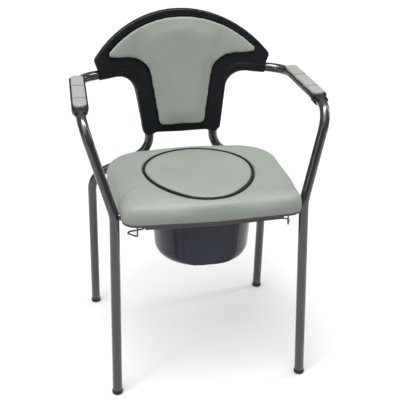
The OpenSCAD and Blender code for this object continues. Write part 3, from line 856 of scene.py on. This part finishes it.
def pan_piece():
    """The pan with rolled edges, a groove at each side of its flat front and faint sunken lines, all of them
    darkened with painted shade.
    """
    tree = tree_of(frame["nodes"]["pan"])
    low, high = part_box("pan")
    axis = np.array([(low.x + high.x) / 2, (low.y + high.y) / 2])
    deep = high.z - low.z
    count = 720
    turns = np.arange(count) * 2 * math.pi / count
    rays = np.stack([np.cos(turns), np.sin(turns)], 1)
    # how deep the side grooves are, in millimetres
    groove = 1.6

    def wall_at(z, start, way):
        hits = [tree.ray_cast(Vector((*(axis + u * start), z)), Vector((*(u * way), 0.0)))[0]
                for u in rays]
        return np.array([[h.x, h.y] for h in hits])

    def outside(z):
        return wall_at(z, 0.4, -1)

    def inside(z):
        return wall_at(z, 0.0, 1)

    def pressed_and_shaded(flat, z):
        x, t = (flat[:, 0] - axis[0]) / MM, (z - low.z) / deep
        side = 55.5 + 5.5 * t
        dent = groove * bell(np.abs(x) - side, 2.1) * np.clip((t - 0.10) / 0.08, 0, 1)
        for top, top_x, foot_x in ((0.80, -54, -39), (1.0, 14, -8)):
            along_it = (t - 0.13) / (top - 0.13)
            if 0 <= along_it <= 1:
                dent += 0.6 * bell(x - foot_x - (top_x - foot_x) * along_it ** 0.8, 1.6)
        dent = dent * (flat[:, 1] < axis[1])
        # each point's depth, as a share of the side groove's, is kept as painted shade for the colour
        groove_shade.append(dent / groove)
        return flat - rays * (dent * MM)[:, None]

    rows, groove_shade = [], []
    first = outside(low.z + 0.0004)
    for s in (0.25, 0.6, 0.9):
        rows.append(np.column_stack([axis + (first - axis) * s, np.full(count, low.z)]))
    for t in [0.003, 0.012, 0.025, 0.04, 0.06, 0.085, 0.11, 0.14, 0.17] + list(np.linspace(0.21, 0.97, 16)):
        z = low.z + deep * t
        rows.append(np.column_stack([pressed_and_shaded(outside(z), z), np.full(count, z)]))
    rim = outside(high.z - 0.0015)
    rolled = ((0.9, 0.0030), (0.25, 0.0026), (0.0, 0.0019), (0.0, 0.0011), (0.25, 0.0004), (0.9, 0.0))
    for inset, z in rolled:
        rows.append(np.column_stack([rim - rays * inset * MM, np.full(count, high.z - z)]))
    wall = inside(high.z - 0.0015)
    rows.append(np.column_stack([wall + rays * 0.0010, np.full(count, high.z)]))
    rows.append(np.column_stack([wall + rays * 0.0003, np.full(count, high.z - 0.0004)]))
    for t in list(np.linspace(0.96, 0.2, 9)) + [0.12, 0.07, 0.04, 0.028]:
        z = low.z + deep * t
        rows.append(np.column_stack([inside(z), np.full(count, z)]))
    floor_z = low.z + 0.0021
    last = rows[-1][:, :2]
    for s in (0.9, 0.6, 0.25):
        rows.append(np.column_stack([axis + (last - axis) * s, np.full(count, floor_z)]))
    pts = np.concatenate(rows)
    faces = tube_faces(len(rows), count)
    pts = np.vstack([pts, [[*axis, low.z], [*axis, floor_z]]])
    end, under, floor = (len(rows) - 1) * count, len(pts) - 2, len(pts) - 1
    for j in range(count):
        faces.append((j, under, (j + 1) % count))
        faces.append((end + j, end + (j + 1) % count, floor))
    obj = new_piece("pan_shell", pts, faces, "pan_plastic", "pan")
    # the kept depths go on the mesh as painted shade that darkens the grooves and lines
    depth = np.zeros(len(pts), np.float32)
    depth[3 * count:(3 + len(groove_shade)) * count] = np.concatenate(groove_shade)
    obj.data.attributes.new("pressed_and_shaded", "FLOAT", "POINT").data.foreach_set("value", depth)
    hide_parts("pan")


seat_piece()
plug_piece()
cord_piece()
back_pad_piece()
moulded_shell("backrest_front_shell", "backrest_frame")
moulded_shell("backrest_rear_shell", "backrest_rear_cover")
for side in ("left", "right"):
    arm_pad_piece(side)
    arm_tray_piece(side)
    arm_nose_piece(side)
    for number, share in enumerate(ARM_SEAMS, 1):
        arm_seam_piece(side, number, share)
pan_piece()
bevel_edges("seat_base", 0.0008)


# ---------------------------------------------------------------- stage, light, camera

def area_light(name, place, aim, size, power):
    """A rectangular light at a place, turned towards a point."""
    data = bpy.data.lights.new(name, "AREA")
    data.shape = "RECTANGLE"
    data.size, data.size_y = size
    data.energy = power
    obj = bpy.data.objects.new(name, data)
    obj.location = place
    obj.rotation_euler = (Vector(aim) - Vector(place)).to_track_quat("-Z", "Y").to_euler()
    SCENE.collection.objects.link(obj)
    return obj


def studio():
    """A pale floor, a white surround, a sun and four panels of light."""
    mesh = bpy.data.meshes.new("studio_floor")
    size, n = 9.0, 24
    steps = [size * (2 * i / n - 1) for i in range(n + 1)]
    grid = [(x, y, 0.0) for x in steps for y in steps]
    starts = [i * (n + 1) + j for i in range(n) for j in range(n)]
    quads = [(a, a + n + 1, a + n + 2, a + 1) for a in starts]
    mesh.from_pydata(grid, [], quads)
    mesh.materials.append(floor_finish("studio_white"))
    floor = bpy.data.objects.new("studio_floor", mesh)
    SCENE.collection.objects.link(floor)
    floor.visible_diffuse = False
    world = bpy.data.worlds.new("studio")
    world.use_nodes = True
    SCENE.world = world
    tree = world.node_tree
    back = tree.nodes["Background"]
    back.inputs["Color"].default_value = (1.0, 1.0, 1.0, 1.0)
    # bright from above, dimmer from below and in reflections, pure white behind the chair
    place = tree.nodes.new("ShaderNodeTexCoord")
    split = tree.nodes.new("ShaderNodeSeparateXYZ")
    tree.links.new(place.outputs["Generated"], split.inputs[0])
    height = tree.nodes.new("ShaderNodeMapRange")
    for socket, value in (("From Min", -0.2), ("From Max", 0.5), ("To Min", 0.34), ("To Max", 0.82)):
        height.inputs[socket].default_value = value
    tree.links.new(split.outputs["Z"], height.inputs["Value"])
    path = tree.nodes.new("ShaderNodeLightPath")
    gloss = tree.nodes.new("ShaderNodeMath")
    gloss.operation = "MULTIPLY_ADD"
    gloss.inputs[1].default_value = -0.40
    tree.links.new(path.outputs["Is Glossy Ray"], gloss.inputs[0])
    tree.links.new(height.outputs["Result"], gloss.inputs[2])
    white = tree.nodes.new("ShaderNodeMath")
    white.operation = "MAXIMUM"
    backdrop = tree.nodes.new("ShaderNodeMath")
    backdrop.operation = "MULTIPLY"
    backdrop.inputs[1].default_value = 1.05
    tree.links.new(path.outputs["Is Camera Ray"], backdrop.inputs[0])
    tree.links.new(gloss.outputs[0], white.inputs[0])
    tree.links.new(backdrop.outputs[0], white.inputs[1])
    tree.links.new(white.outputs[0], back.inputs["Strength"])
    sun = bpy.data.lights.new("sun", "SUN")
    sun.energy = 1.35
    sun.angle = math.radians(50)
    key = bpy.data.objects.new("sun", sun)
    key.rotation_euler = Vector((0.30, 0.42, -1.0)).to_track_quat("-Z", "Y").to_euler()
    SCENE.collection.objects.link(key)
    area_light("overhead", (-0.35, -0.45, 2.3), (0.0, 0.0, 0.5), (0.5, 0.5), 7.0)
    panel = area_light("gloss_panel", (0.15, -0.15, 2.2), (0.15, -0.15, 0.0), (1.5, 0.5), 36.0)
    panel.visible_diffuse = False
    area_light("front_left", (-2.4, -1.9, 1.3), (0.0, 0.0, 0.5), (0.32, 1.6), 9.0)
    area_light("rear_right", (2.2, 0.5, 1.3), (0.0, 0.0, 0.5), (0.32, 1.6), 11.0)
    SCENE.view_settings.view_transform = "Standard"
    SCENE.view_settings.look = "None"


def camera():
    """The camera at the given view's angle."""
    data = bpy.data.cameras.new("camera")
    data.sensor_width = 36.0
    data.lens = 81.79
    data.clip_start, data.clip_end = 0.05, 60.0
    obj = bpy.data.objects.new("camera", data)
    # fitted so that the chair stands in the frame as it does in the given view
    place = (-0.3911, -1.7455 + FEET_Y, 1.2738)
    yaw, pitch, roll = (math.radians(a) for a in (11.761, 24.15, 0.494))
    ahead = Vector((math.sin(yaw) * math.cos(pitch), math.cos(yaw) * math.cos(pitch), -math.sin(pitch)))
    right = Vector((math.cos(yaw), -math.sin(yaw), 0.0))
    up = right.cross(ahead)
    x = right * math.cos(roll) + up * math.sin(roll)
    y = up * math.cos(roll) - right * math.sin(roll)
    turn = Matrix((x, y, -ahead)).transposed()
    obj.matrix_world = Matrix.Translation(place) @ turn.to_4x4()
    SCENE.collection.objects.link(obj)
    SCENE.camera = obj


studio()
camera()

bpy.context.view_layer.update()
